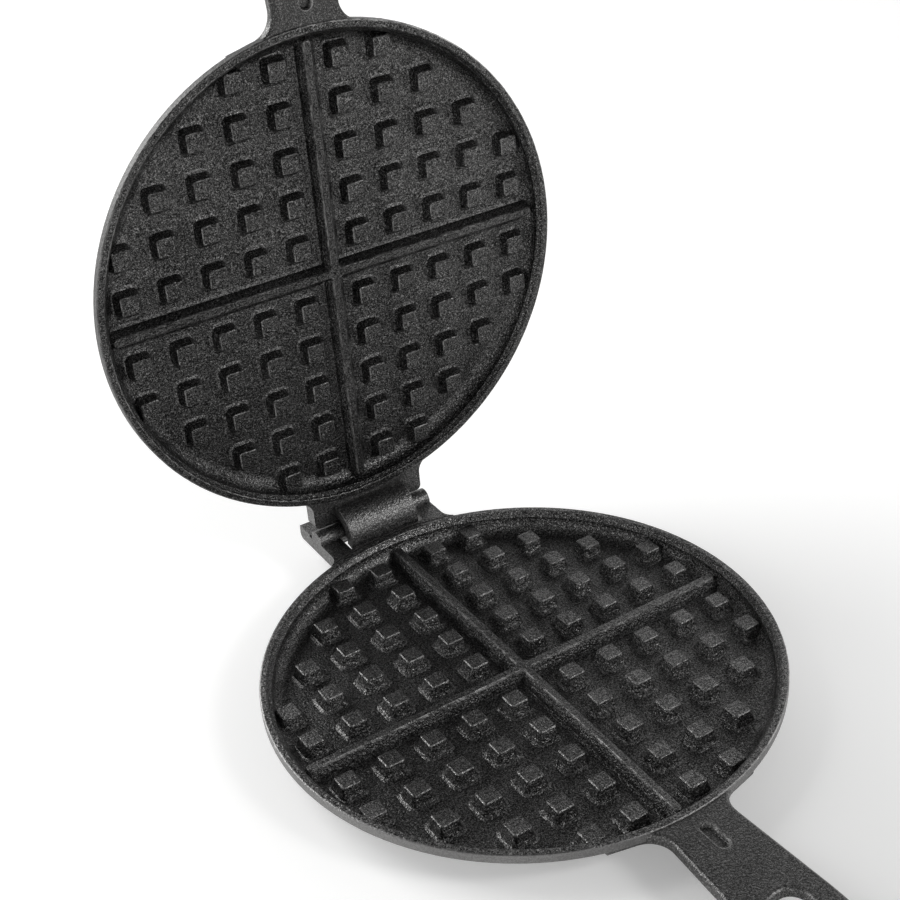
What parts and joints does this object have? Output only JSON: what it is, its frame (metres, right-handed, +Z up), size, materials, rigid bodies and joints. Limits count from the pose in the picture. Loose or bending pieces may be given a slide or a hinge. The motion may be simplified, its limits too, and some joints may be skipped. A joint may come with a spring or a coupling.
{
  "type": "waffle iron",
  "caption": "Round two-plate cast-iron waffle iron, standing open on a lift-apart hook hinge, with studded plates, crossed ridges and flat slotted handles.",
  "frame": {"origin": "centre of the lower plate's resting face", "axes": "+X along the hinge axis, lower handle towards -Y, hinge towards +Y, +Z up"},
  "size_m": [0.19, 0.3451, 0.3358],
  "materials": {
    "seasoned_iron": "seasoned, fine sand-cast grain"
  },
  "bodies": {
    "lower_half": {"lower_plate": "seasoned_iron", "lower_handle": "seasoned_iron", "hinge_bracket": "seasoned_iron", "hinge_bar": "seasoned_iron"},
    "upper_half": {"upper_plate": "seasoned_iron", "upper_handle": "seasoned_iron", "hinge_neck": "seasoned_iron", "hinge_hook": "seasoned_iron", "lid_stop": "seasoned_iron"}
  },
  "joints": [
    {"name": "lid_hinge", "type": "hinge", "parent": "lower_half", "child": "upper_half", "pos_m": [0, 0.1083, 0.014], "axis": [1, 0, 0], "range_deg": [0, 92.7]}
  ]
}
